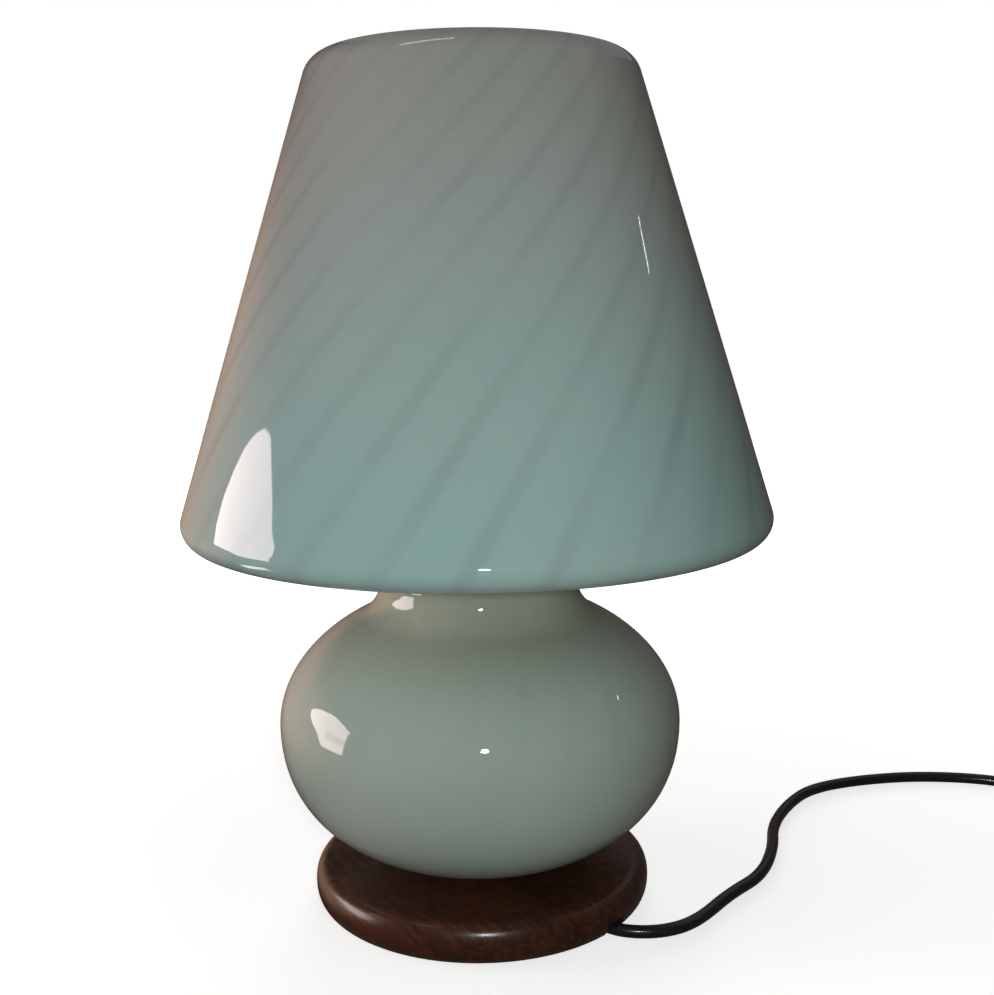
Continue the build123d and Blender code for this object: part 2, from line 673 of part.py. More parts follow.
across = polar(1, CHANNEL_AZIMUTH + 90)
wire_bottom = insert_bottom - terminal_height
for name, side in (("wire_live", 1), ("wire_neutral", -1)):
    beside = across * (side * WIRE_SPREAD)
    start = inner_end + beside
    level = polar(14.5, CHANNEL_AZIMUTH, CORD_INNER_Z) + beside
    down = polar(11.5, CHANNEL_AZIMUTH, WIRE_FLOOR) + beside
    under = Vector(0, 0, WIRE_FLOOR) + beside
    above = Vector(beside.X, beside.Y, TUBE_TOP + 2.2)
    outward = Vector(side * terminal_x, 0, TUBE_TOP + 4.6)
    terminal = Vector(side * terminal_x, 0, wire_bottom)
    with BuildPart() as wire:
        with BuildLine() as wire_path:
            FilletPolyline(
                *[tuple(point) for point in (start, level, down, under, above, outward, terminal)],
                radius=[1.8, 1.8, 2.4, 1.4, 1.4],
            )
        with BuildSketch(Plane(origin=wire_path.line @ 0, z_dir=wire_path.line % 0)):
            Circle(WIRE_RADIUS)
        sweep()
    save(wire, name)

# ---------------------------------------------------------------- inline switch
switch_end = SWITCH_LENGTH / 2
SHELL_WALL = 1.8
ROCKER_PIVOT_Z = 11.0
ROCKER_TILT = 9.0  # either side of level
ROCKER_RADIUS = 10.6
ROCKER_HALF_WIDTH = 5.4
ROCKER_PIN = 1.25
screw_posts = ((8.4, 19.0), (-8.4, -19.0))


def at_switch(z=0.0):
    """Horizontal plane over the switch's centre."""
    return Plane.XY.offset(z).move(Location((SWITCH_X, SWITCH_Y, 0)))


def switch_outline():
    """The switch seen from above."""
    half_width, shoulder, half_nose = SWITCH_WIDTH / 2, 17.0, 6.5
    quarter = ((half_nose, switch_end), (half_width, shoulder))
    right = [*quarter, *[(x, -y) for x, y in reversed(quarter)]]
    Polygon(*right, *[(-x, y) for x, y in reversed(right)], align=None)


def cord_entries():
    """Round holes for the flex through both ends, on the seam."""
    with Locations((SWITCH_X, SWITCH_Y, SWITCH_SEAM)):
        Cylinder(CORD_R + 0.15, SWITCH_LENGTH + 2, rotation=(90, 0, 0), mode=Mode.SUBTRACT)


with BuildPart() as switch_base:
    with BuildSketch(at_switch(SWITCH_BOTTOM)):
        switch_outline()
    extrude(amount=SWITCH_SEAM - SWITCH_BOTTOM)
    fillet(switch_base.edges().filter_by(Axis.Z), 5.0)
    chamfer(switch_base.edges().group_by(Axis.Z)[0], 1.2)
    with BuildSketch(at_switch(SWITCH_BOTTOM + SHELL_WALL)):
        switch_outline()
        offset(amount=-SHELL_WALL)
        with Locations(*screw_posts):
            Circle(3.2, mode=Mode.SUBTRACT)
    extrude(amount=SWITCH_SEAM, mode=Mode.SUBTRACT)
    cord_entries()
    with Locations(*[(SWITCH_X + x, SWITCH_Y + y, SWITCH_BOTTOM) for x, y in screw_posts]):
        with Locations(Rotation(180, 0, 0)):
            CounterBoreHole(1.6, 2.9, 2.0)
save(switch_base, "switch_base")

window_half_length, window_half_width = ROCKER_RADIUS + 0.35, ROCKER_HALF_WIDTH + 0.4
with BuildPart() as switch_cover:
    with BuildSketch(at_switch(SWITCH_SEAM)):
        switch_outline()
    extrude(amount=SWITCH_TOP - SWITCH_SEAM)
    fillet(switch_cover.edges().filter_by(Axis.Z), 5.0)
    chamfer(switch_cover.edges().group_by(Axis.Z)[-1], 2.0)
    with BuildSketch(at_switch(SWITCH_SEAM)):
        switch_outline()
        offset(amount=-SHELL_WALL)
        with Locations(*screw_posts):
            Circle(3.2, mode=Mode.SUBTRACT)
    extrude(amount=SWITCH_TOP - SHELL_WALL - SWITCH_SEAM, mode=Mode.SUBTRACT)
    # bearing lugs for the rocker's pins, either side of its window
    with BuildSketch(at_switch(SWITCH_SEAM + 1.0)):
        for side in (-1, 1):
            with Locations((side * (window_half_width + 1.3), 0)):
                Rectangle(2.6, 7.0)
    extrude(amount=SWITCH_TOP - SHELL_WALL - SWITCH_SEAM)
    with BuildSketch(at_switch(SWITCH_SEAM)):
        Rectangle(2 * window_half_width, 2 * window_half_length)
    extrude(amount=SWITCH_TOP, mode=Mode.SUBTRACT)
    with BuildSketch(Plane.YZ.offset(SWITCH_X)):
        with Locations((SWITCH_Y, ROCKER_PIVOT_Z)):
            Circle(ROCKER_PIN + 0.06)
    extrude(amount=window_half_width + 2.7, both=True, mode=Mode.SUBTRACT)
    cord_entries()
    with Locations(*[(SWITCH_X + x, SWITCH_Y + y, SWITCH_SEAM) for x, y in screw_posts]):
        with Locations(Rotation(180, 0, 0)):
            Hole(1.55, depth=6.0)
save(switch_cover, "switch_cover")

# the rocker is drawn level on its pivot, then tipped to its off position
rocker_low, rocker_high = radians(-15), radians(33)
with BuildPart() as switch_rocker:
    with BuildSketch(Plane.YZ):
        with BuildLine():
            for side in (-1, 1):
                ThreePointArc(
                    *[
                        (side * ROCKER_RADIUS * cos(angle), ROCKER_RADIUS * sin(angle))
                        for angle in (rocker_low, (rocker_low + rocker_high) / 2, rocker_high)
                    ]
                )
            Polyline(
                (-ROCKER_RADIUS * cos(rocker_high), ROCKER_RADIUS * sin(rocker_high)),
                (0, 4.9),
                (ROCKER_RADIUS * cos(rocker_high), ROCKER_RADIUS * sin(rocker_high)),
            )
            Polyline(
                (-ROCKER_RADIUS * cos(rocker_low), ROCKER_RADIUS * sin(rocker_low)),
                (-3.5, -3.4),
                (0, -4.6),
                (3.5, -3.4),
                (ROCKER_RADIUS * cos(rocker_low), ROCKER_RADIUS * sin(rocker_low)),
            )
        make_face()
    extrude(amount=ROCKER_HALF_WIDTH, both=True)
    with BuildSketch(Plane.YZ):
        Circle(ROCKER_PIN)
    extrude(amount=window_half_width + 2.4, both=True)
switch_rocker.part = switch_rocker.part.rotate(Axis.X, -ROCKER_TILT)
switch_rocker.part = switch_rocker.part.moved(Location((SWITCH_X, SWITCH_Y, ROCKER_PIVOT_Z)))
save(switch_rocker, "switch_rocker")

tray_floor = SWITCH_BOTTOM + SHELL_WALL
with BuildPart() as switch_contacts:
    for side in (-1, 1):
        with BuildSketch(Plane.YZ.offset(SWITCH_X + side * 3.2 - 1.5)):
            with BuildLine():
                Polyline(
                    (SWITCH_Y - 14, tray_floor),
                    (SWITCH_Y + 14, tray_floor),
                    (SWITCH_Y + 14, tray_floor + 0.6),
                    (SWITCH_Y + 3, tray_floor + 0.6),
                    (SWITCH_Y + 1, tray_floor + 2.2),
                    (SWITCH_Y - 1, tray_floor + 2.2),
                    (SWITCH_Y - 3, tray_floor + 0.6),
                    (SWITCH_Y - 14, tray_floor + 0.6),
                    close=True,
                )
            make_face()
        extrude(amount=3.0)
save(switch_contacts, "switch_contacts")

with BuildPart() as switch_screws:
    with BuildSketch(at_switch(SWITCH_BOTTOM + 0.2)):
        with Locations(*screw_posts):
            Circle(2.7)
    extrude(amount=1.8)
    with BuildSketch(at_switch(SWITCH_BOTTOM + 2.0)):
        with Locations(*screw_posts):
            Circle(1.5)
    extrude(amount=10.0)
save(switch_screws, "switch_screws")

# ---------------------------------------------------------------- flex on the table
heading = Vector(cos(radians(COIL_HEADING)), sin(radians(COIL_HEADING)), 0)


def coil_point(turns):
    """Axis of the flex in the coil after a number of turns: in on the table, out on top."""
    middle = COIL_TURNS / 2
    radius = COIL_OUTER - COIL_PITCH * (middle - abs(turns - middle))
    climb = min(max(2 * (turns - middle) + 0.5, 0), 1)
    angle = coil_angle - 2 * pi * turns
    return coil_centre + Vector(radius * cos(angle), radius * sin(angle), COIL_LAYER * climb)


def coil_tangent(turns):
    """Direction of the flex in the coil: level but for the climb in the middle half turn."""
    step = 1e-4
    middle = COIL_TURNS / 2
    if abs(turns - middle) < step or abs(abs(turns - middle) - 0.25) < step:
        flat = coil_point(turns + step) - coil_point(turns - step)
        inner_radius = COIL_OUTER - COIL_PITCH * middle
        rise = COIL_LAYER / (pi * inner_radius) if abs(turns - middle) < step else 0
        level = Vector(flat.X, flat.Y, 0).normalized()
        return (level + Vector(0, 0, rise)).normalized()
    return (coil_point(turns + step) - coil_point(turns - step)).normalized()


def biarc(start, start_way, end, end_way):
    """Two tangent arcs between two points with given directions."""
    chord, both = end - start, start_way + end_way
    a, b, c = both.dot(both) - 4, -2 * chord.dot(both), chord.dot(chord)
    reach = (-b - sqrt(b * b - 4 * a * c)) / (2 * a)
    joint = (start + start_way * reach + end - end_way * reach) * 0.5
    way = (joint - start).normalized()
    TangentArc(start, joint, tangent=start_way)
    TangentArc(joint, end, tangent=way * (2 * way.dot(start_way)) - start_way)


# the coil's first turn starts one diameter after the flex enters it, in COIL_HEADING
coil_inlet = Vector(*COIL_START, CORD_Z)
coil_angle = radians(COIL_HEADING) + pi / 2
coil_centre = coil_inlet + heading * CORD_DIAMETER - Vector(cos(coil_angle), sin(coil_angle), 0) * COIL_OUTER
coil_stations = [turn / 4 for turn in range(4 * COIL_TURNS + 1)]
coil_ends = (coil_point(0), coil_point(COIL_TURNS))
coil_ways = (coil_tangent(0), coil_tangent(COIL_TURNS))
coil_entry = coil_ends[0] - coil_ways[0] * CORD_DIAMETER
coil_exit = coil_ends[1] + coil_ways[1] * CORD_DIAMETER
print("coil from", coil_entry, "along", coil_ways[0], "to", coil_exit, "along", coil_ways[1])
with BuildPart() as cord_coil:
    with BuildLine() as coil_path:
        Line(coil_entry, coil_ends[0])
        for before, after in zip(coil_stations, coil_stations[1:]):
            biarc(coil_point(before), coil_tangent(before), coil_point(after), coil_tangent(after))
        Line(coil_ends[1], coil_exit)
    with BuildSketch(Plane(origin=coil_entry, z_dir=coil_ways[0])):
        Circle(CORD_R)
    sweep()
coil_length = sum(edge.length for edge in coil_path.edges())
coil_share = cord_coil.part.volume / (pi * CORD_R**2 * coil_length)
print("coil length", round(coil_length, 1), "volume over section times length", round(coil_share, 4))
save(cord_coil, "cord_coil")

samples = [edge @ (step / 8) for edge in coil_path.edges().sort_by(coil_path.wire()) for step in range(8)]
reach_back = ceil(2 * COIL_OUTER / (coil_length / len(samples)))
least = min(
    (samples[i] - samples[j]).length for i in range(len(samples)) for j in range(i + reach_back, len(samples))
)
print("coil's least gap to itself", round(least - CORD_DIAMETER, 2))

cord_run_points = [
    tuple(relief_tip),
    tuple(relief_tip + relief_axis * RELIEF_LEAD),
    (73.6, -56.5, CORD_Z),
    (89.5, -53.4, CORD_Z),
    (102.8, -43.0, CORD_Z),
    (120.0, -19.9, CORD_Z),
    (140.2, -0.1, CORD_Z),
    (153.0, 31.0, CORD_Z),
    (159.0, 60.0, CORD_Z),
    (175.0, 90.0, CORD_Z),
    (194.0, 112.0, CORD_Z),
    (228.0, 124.0, CORD_Z),
    (266.0, 128.0, CORD_Z),
    (306.0, 120.0, CORD_Z),
    (337.0, 97.0, CORD_Z),
    (SWITCH_X, 66.0, CORD_Z),
    (SWITCH_X, 43.0, SWITCH_SEAM),
    (SWITCH_X, SWITCH_Y + switch_end - SWITCH_ENTRY, SWITCH_SEAM),
]
cord_link_points = [
    (SWITCH_X, SWITCH_Y - switch_end + SWITCH_ENTRY, SWITCH_SEAM),
    (SWITCH_X, -47.5, SWITCH_SEAM),
    (351.0, -63.0, 4.6),
    tuple(coil_entry - coil_ways[0] * COIL_LEAD_IN),
    tuple(coil_entry),
]
cord_tail_points = [
    tuple(coil_exit),
    tuple(coil_exit + coil_ways[1] * COIL_LEAD_OUT),
    (318.0, -132.0, 6.2),
    (303.0, -143.0, CORD_Z),
    (286.0, -150.0, CORD_Z),
    (268.0, PLUG_ENTRY[1], PLUG_Z),
    (*PLUG_ENTRY, PLUG_Z),
]
lengths = [
    flex("cord_run", cord_run_points),
    flex("cord_link", cord_link_points),
    flex("cord_tail", cord_tail_points),
    coil_length,
    SWITCH_LENGTH - 2 * SWITCH_ENTRY,
]
print("flex from base to plug", round(sum(lengths)))

# ---------------------------------------------------------------- plug
plug_plane = Plane(origin=(*PLUG_ENTRY, PLUG_Z), x_dir=(0, 1, 0), z_dir=(-1, 0, 0))
plug_face = PLUG_RELIEF + PLUG_LENGTH
pin_places = ((-PIN_SPACING / 2, 0), (PIN_SPACING / 2, 0))
with BuildPart() as plug_body:
    for depth, width, thickness, corner in (
        (PLUG_RELIEF, 13.0, 10.4, 4.6),
        (PLUG_RELIEF + 13.0, 29.0, 13.2, 5.6),
        (PLUG_RELIEF + 24.0, PLUG_WIDTH, PLUG_THICKNESS, 6.0),
        (plug_face, PLUG_WIDTH - 2.4, PLUG_THICKNESS - 1.4, 5.4),
    ):
        with BuildSketch(plug_plane.offset(depth)):
            RectangleRounded(width, thickness, corner)
    loft(ruled=True)
    with BuildSketch(plug_plane):
        Circle(CORD_R + 0.6)
    with BuildSketch(plug_plane.offset(PLUG_RELIEF)):
        Circle(CORD_R + 1.9)
    loft()
    with BuildSketch(plug_plane.offset(plug_face - PIN_ROOT)):
        with Locations(*pin_places):
            Circle(PIN_RADIUS + 0.02)
    extrude(amount=PIN_ROOT + 1, mode=Mode.SUBTRACT)
save(plug_body, "plug_body")

with BuildPart() as plug_pins:
    with BuildSketch(plug_plane.offset(plug_face - PIN_ROOT)):
        with Locations(*pin_places):
            Circle(PIN_RADIUS - 0.4)
    extrude(amount=PIN_ROOT + PIN_SLEEVE)
    with BuildSketch(plug_plane.offset(plug_face + PIN_SLEEVE)):
        with Locations(*pin_places):
            Circle(PIN_RADIUS)
    extrude(amount=PIN_LENGTH - PIN_SLEEVE)
    fillet(plug_pins.edges().group_by(Axis.X)[0], 1.2)
save(plug_pins, "plug_pins")

with BuildPart() as pin_sleeves:
    with BuildSketch(plug_plane.offset(plug_face - PIN_ROOT)):
        with Locations(*pin_places):
            Circle(PIN_RADIUS)
            Circle(PIN_RADIUS - 0.38, mode=Mode.SUBTRACT)
    extrude(amount=PIN_ROOT + PIN_SLEEVE)
save(pin_sleeves, "pin_sleeves")
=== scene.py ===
"""Mushroom table lamp: its looks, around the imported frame.

The lamp's outlines and routes are in millimetres, and MM turns them into Blender's metres. Places
in its materials and on the stage around it are in metres. The lamp's axis is at the origin, +Z up,
-Y towards the viewer.
"""

import json
from math import acos, asin, atan2, cos, hypot, pi, radians, sin, tan

import bpy
from mathutils import Matrix, Vector


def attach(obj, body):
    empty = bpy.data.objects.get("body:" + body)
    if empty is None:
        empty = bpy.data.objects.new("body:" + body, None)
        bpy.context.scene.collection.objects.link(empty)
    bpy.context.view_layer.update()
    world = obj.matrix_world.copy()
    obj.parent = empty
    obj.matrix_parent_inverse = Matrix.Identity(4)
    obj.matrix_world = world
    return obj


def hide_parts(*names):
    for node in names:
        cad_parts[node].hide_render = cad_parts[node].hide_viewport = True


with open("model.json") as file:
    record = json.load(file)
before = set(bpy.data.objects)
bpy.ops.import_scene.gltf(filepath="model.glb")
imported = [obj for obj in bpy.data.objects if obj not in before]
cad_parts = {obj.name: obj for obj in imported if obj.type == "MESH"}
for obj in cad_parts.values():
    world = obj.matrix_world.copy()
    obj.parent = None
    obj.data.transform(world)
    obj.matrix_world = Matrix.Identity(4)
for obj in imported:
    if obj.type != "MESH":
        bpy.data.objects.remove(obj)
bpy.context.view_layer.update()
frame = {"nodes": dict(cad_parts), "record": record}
MM = 0.001

# ---------------------------------------------------------------- camera
CAMERA_BACK, CAMERA_HEIGHT = 616.187, 299.995
CAMERA_DOWN = 0.165298  # radians below the horizon
CAMERA_YAW = 0.0150115  # radians towards +X
CAMERA_ROLL = -0.0104543  # radians that the camera is turned about its view
FOCAL_PIXELS, FRAME_PIXELS = 1311.553, 995
SENSOR = 36.0

CAMERA_AT = Vector((0, -CAMERA_BACK, CAMERA_HEIGHT)) * MM
camera_turn = Matrix.Rotation(-CAMERA_YAW, 4, "Z") @ Matrix.Rotation(pi / 2 - CAMERA_DOWN, 4, "X")
camera_data = bpy.data.cameras.new("camera")
camera_data.sensor_width = SENSOR
camera_data.lens = FOCAL_PIXELS / FRAME_PIXELS * SENSOR
camera_data.clip_start, camera_data.clip_end = 0.01, 60
camera = bpy.data.objects.new("camera", camera_data)
camera.matrix_world = Matrix.Translation(CAMERA_AT) @ camera_turn @ Matrix.Rotation(CAMERA_ROLL, 4, "Z")
bpy.context.scene.collection.objects.link(camera)
bpy.context.scene.camera = camera
bpy.context.scene.view_settings.view_transform = "Standard"


# ---------------------------------------------------------------- material helper
class Paint:
    """A procedural material: a Principled shader, with short calls that add nodes to it."""

    def __init__(self, name, colour=(0.5, 0.5, 0.5), **sockets):
        self.material = bpy.data.materials.new(name)
        self.material.use_nodes = True
        self.tree = self.material.node_tree
        self.shader = self.tree.nodes["Principled BSDF"]
        self.shader.inputs["Base Color"].default_value = (*colour, 1)
        for socket, value in sockets.items():
            self.shader.inputs[socket.replace("_", " ")].default_value = value

    def add(self, kind, settings=None, **inputs):
        """A node. Inputs are values or sockets; i0, i1 and so on are inputs by place."""
        node = self.tree.nodes.new("ShaderNode" + kind)
        for key, value in (settings or {}).items():
            setattr(node, key, value)
        for key, value in inputs.items():
            socket = node.inputs[int(key[1:]) if key[1:].isdigit() else key.replace("_", " ")]
            if isinstance(value, bpy.types.NodeSocket):
                self.tree.links.new(value, socket)
            else:
                socket.default_value = value
        return node

    def math(self, operation, *values):
        """The result of a Math node."""
        inputs = {f"i{place}": value for place, value in enumerate(values)}
        return self.add("Math", {"operation": operation}, **inputs).outputs[0]

    def times(self, *values):
        """The product of two or more values."""
        product = values[0]
        for value in values[1:]:
            product = self.math("MULTIPLY", product, value)
        return product

    def fade(self, value, start, end, low=0.0, high=1.0):
        """A value that goes smoothly from low at start to high at end."""
        return self.add(
            "MapRange",
            {"interpolation_type": "SMOOTHSTEP"},
            Value=value, From_Min=start, From_Max=end, To_Min=low, To_Max=high,
        ).outputs[0]

    def mix(self, share, first, second):
        """A blend of two colours."""
        node = self.add("Mix", {"data_type": "RGBA"}, i0=share)
        for socket, colour in ((node.inputs[6], first), (node.inputs[7], second)):
            if isinstance(colour, bpy.types.NodeSocket):
                self.tree.links.new(colour, socket)
            else:
                socket.default_value = (*colour, 1)
        return node.outputs[2]

    def where(self, scale=(1, 1, 1), turn=(0, 0, 0)):
        """Object coordinates along turned axes, each times its scale."""
        place = self.add("TexCoord").outputs["Object"]
        size = [1 / s for s in scale]
        mapping = self.add("Mapping", {"vector_type": "TEXTURE"}, Vector=place, Scale=size, Rotation=turn)
        return mapping.outputs[0]

    def axes(self):
        """The three object coordinates, each as a value."""
        return self.add("SeparateXYZ", None, Vector=self.where()).outputs

    def noise(self, where, scale, detail=3.0, distortion=0.0):
        """Noise from 0 to 1."""
        return self.add(
            "TexNoise", None, Vector=where, Scale=scale, Detail=detail, Distortion=distortion
        ).outputs[0]

    def set(self, socket, value):
        """Link a result to the shader."""
        self.tree.links.new(value, self.shader.inputs[socket])

    def bump(self, height, depth, strength=1.0):
        """Relief of a real depth in millimetres."""
        node = self.add("Bump", None, Height=height, Distance=depth * MM, Strength=strength)
        self.set("Normal", node.outputs[0])
        return self


def dress(piece, paint):
    """Give a piece one material."""
    piece.data.materials.clear()
    piece.data.materials.append(paint.material)


# ---------------------------------------------------------------- flex
FLEX = 6.0
CORD_Z = 3.2
SWITCH_X, SWITCH_SEAM = 352.0, 7.0
RELIEF_TIP = Vector((46.075, -41.486, 4.6))
COIL_OUTER, COIL_PITCH, COIL_LAYER, COIL_TURNS = 41.0, 6.5, 6.5, 5
COIL_START, COIL_HEADING = (338.0, -95.0), radians(-115.0)
COIL_POINTS = 24  # in each turn
coil_angle = COIL_HEADING + pi / 2
coil_centre = (
    Vector((*COIL_START, CORD_Z))
    + Vector((cos(COIL_HEADING), sin(COIL_HEADING), 0)) * FLEX
    - Vector((cos(coil_angle), sin(coil_angle), 0)) * COIL_OUTER
)


def coil_point(turns):
    """Axis of the flex in the coil after a number of turns: in on the floor, out on top."""
    middle = COIL_TURNS / 2
    radius = COIL_OUTER - COIL_PITCH * (middle - abs(turns - middle))
    climb = min(max(2 * (turns - middle) + 0.5, 0), 1)
    angle = coil_angle - 2 * pi * turns
    return coil_centre + Vector((radius * cos(angle), radius * sin(angle), COIL_LAYER * climb))


coil_steps = COIL_TURNS * COIL_POINTS
coil = [coil_point(step / COIL_POINTS) for step in range(coil_steps + 1)]
way_in, way_out = (coil[1] - coil[0]).normalized(), (coil[-1] - coil[-2]).normalized()
run_route = [
    tuple(RELIEF_TIP),
    (57.925, -52.156, 3.29),
    (73.6, -56.5, CORD_Z),
    (89.5, -53.4, CORD_Z),
    (102.8, -43.0, CORD_Z),
    (120.0, -19.9, CORD_Z),
    (140.2, -0.1, CORD_Z),
    (153.0, 31.0, CORD_Z),
    (159.0, 60.0, CORD_Z),
    (175.0, 90.0, CORD_Z),
    (194.0, 112.0, CORD_Z),
    (228.0, 124.0, CORD_Z),
    (266.0, 128.0, CORD_Z),
    (306.0, 120.0, CORD_Z),
    (337.0, 97.0, CORD_Z),
    (SWITCH_X, 66.0, CORD_Z),
    (SWITCH_X, 43.0, SWITCH_SEAM),
    (SWITCH_X, 21.0, SWITCH_SEAM),
]
lead_route = [
    (SWITCH_X, -33.0, SWITCH_SEAM),
    (SWITCH_X, -47.5, SWITCH_SEAM),
    (351.0, -63.0, 4.6),
    tuple(coil[0] - way_in * (FLEX + 15)),
    tuple(coil[0] - way_in * FLEX),
    *[tuple(point) for point in coil],
    tuple(coil[-1] + way_out * FLEX),
    tuple(coil[-1] + way_out * (FLEX + 14)),
    (318.0, -132.0, 6.2),
    (303.0, -143.0, CORD_Z),
    (286.0, -150.0, CORD_Z),
    (268.0, -153.0, 7.1),
    (250.0, -153.0, 7.1),
]


def sheath_paint():
    """Smooth black sheath, a little uneven in gloss."""
    paint = Paint("flex_sheath", (0.012, 0.012, 0.013), Roughness=0.24, Coat_Weight=0.35, Coat_Roughness=0.12)
    grain = paint.noise(paint.where(), 900, 4)
    paint.set("Roughness", paint.fade(grain, 0.3, 0.7, 0.2, 0.34))
    return paint.bump(grain, 0.02)


flex_paint = sheath_paint()


def flex(name, route):
    """A smooth length of flex through the control points of a route."""
    curve = bpy.data.curves.new(name, "CURVE")
    curve.dimensions = "3D"
    curve.bevel_depth, curve.bevel_resolution, curve.resolution_u = FLEX / 2 * MM, 8, 8
    curve.use_fill_caps = True
    spline = curve.splines.new("NURBS")
    spline.points.add(len(route) - 1)
    for point, (x, y, z) in zip(spline.points, route):
        point.co = (x * MM, y * MM, z * MM, 1)
    spline.order_u = 3
    spline.use_endpoint_u = True
    piece = bpy.data.objects.new(name, curve)
    bpy.context.scene.collection.objects.link(piece)
    dress(piece, flex_paint)
    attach(piece, "lamp")
    return piece


flex_run = flex("flex_run", run_route)
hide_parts("cord_run")
flex_lead = flex("flex_lead", lead_route)
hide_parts("cord_link", "cord_coil", "cord_tail")

# ---------------------------------------------------------------- blown glass
HEIGHT = 400.0
GLASS_WALL = 4.6
BELLY_RADIUS, BELLY_BOTTOM, BELLY_EQUATOR, BELLY_RISE = 96.7, 20.9, 89.8, 64.7
BELLY_LEAVES_AT = radians(63.3)
BELLY_FLATNESS, BELLY_FULLNESS = 0.62, 0.65
NECK_FILLET, UNDERSIDE_RADIUS = 20.0, 95.0
SHADE_CORNER, CORNER_CENTRE = 9.2, (129.1, 190.9)
SHOULDER, SHOULDER_R, MOUTH_LIP = 13.7, 63.0, 2.0
FOOT_RADIUS, FOOT_Z, FOOT_THICKNESS, GLASS_HOLE = 18.0, 21.6, 4.8, 6.6
ARC_STEP = radians(4)
WALL_STEPS = 24  # along the shade's straight wall
CLOSEST = 0.05  # millimetres between neighbouring points


def on_circle(centre, radius, angle):
    """Point of a circle at an angle from the outward direction."""
    return (centre[0] + radius * cos(angle), centre[1] + radius * sin(angle))


def arc(centre, radius, start, end):
    """Points along an arc."""
    steps = max(2, round(abs(end - start) / ARC_STEP))
    return [on_circle(centre, radius, start + (end - start) * k / steps) for k in range(steps + 1)]


def bezier(a, b, c, d, steps=28):
    """Points along a cubic curve."""
    def point(t):
        """Point at a share of the way."""
        shares = ((1 - t) ** 3, 3 * t * (1 - t) ** 2, 3 * t * t * (1 - t), t**3)
        return tuple(sum(share * handle[k] for share, handle in zip(shares, (a, b, c, d))) for k in (0, 1))

    return [point(k / steps) for k in range(steps + 1)]


ellipse_angle = atan2(BELLY_RISE * sin(BELLY_LEAVES_AT), BELLY_RADIUS * cos(BELLY_LEAVES_AT))
neck_centre = (
    BELLY_RADIUS * cos(ellipse_angle) + NECK_FILLET * cos(BELLY_LEAVES_AT),
    BELLY_EQUATOR + BELLY_RISE * sin(ellipse_angle) + NECK_FILLET * sin(BELLY_LEAVES_AT),
)
# the underside's arc touches the neck's fillet and the shade's corner
gap_r, gap_z = CORNER_CENTRE[0] - neck_centre[0], CORNER_CENTRE[1] - neck_centre[1]
gap = hypot(gap_r, gap_z)
to_neck, to_corner = UNDERSIDE_RADIUS - NECK_FILLET, UNDERSIDE_RADIUS + SHADE_CORNER
lean = acos((to_neck**2 + gap**2 - to_corner**2) / (2 * to_neck * gap))
under_direction = atan2(gap_z, gap_r) - lean
under_centre = on_circle(neck_centre, to_neck, under_direction)
to_shoulder = (SHOULDER_R - CORNER_CENTRE[0], HEIGHT - SHOULDER - CORNER_CENTRE[1])
wall_angle = atan2(-to_shoulder[0], to_shoulder[1]) + asin((SHADE_CORNER - SHOULDER) / hypot(*to_shoulder))


def glass_face(depth):
    """Half section of the glass at a depth under its outer face, from the foot to the rim."""
    radius, rise = BELLY_RADIUS - depth, BELLY_RISE - depth
    bottom = BELLY_BOTTOM + depth
    handle = 4 / 3 * tan(ellipse_angle / 4)
    reach = handle * hypot(radius * sin(ellipse_angle), rise * cos(ellipse_angle))
    fillet = NECK_FILLET + depth
    neck_low = on_circle(neck_centre, -fillet, BELLY_LEAVES_AT)
    before_neck = (neck_low[0] + reach * sin(BELLY_LEAVES_AT), neck_low[1] - reach * cos(BELLY_LEAVES_AT))
    neck_end = under_direction + pi
    corner_start = atan2(under_centre[1] - CORNER_CENTRE[1], under_centre[0] - CORNER_CENTRE[0])
    under_end = corner_start + pi
    line = bezier(
        (0, bottom),
        (BELLY_FLATNESS * radius, bottom),
        (radius, BELLY_EQUATOR - BELLY_FULLNESS * (BELLY_EQUATOR - bottom)),
        (radius, BELLY_EQUATOR),
    )
    equator = (radius, BELLY_EQUATOR)
    line += bezier(equator, (radius, BELLY_EQUATOR + handle * rise), before_neck, neck_low)[1:]
    line += arc(neck_centre, fillet, BELLY_LEAVES_AT + pi, neck_end)[1:]
    line += arc(under_centre, UNDERSIDE_RADIUS + depth, neck_end, under_end)[1:]
    line += arc(CORNER_CENTRE, SHADE_CORNER - depth, corner_start, wall_angle)[1:]
    shoulder = arc((SHOULDER_R, HEIGHT - SHOULDER), SHOULDER - depth, wall_angle, pi / 2)
    wall_low = line[-1]
    for k in range(1, WALL_STEPS):
        share = k / WALL_STEPS
        line.append(tuple(low + (high - low) * share for low, high in zip(wall_low, shoulder[0])))
    line += shoulder
    return line + [(SHOULDER_R - MOUTH_LIP, HEIGHT - depth)]


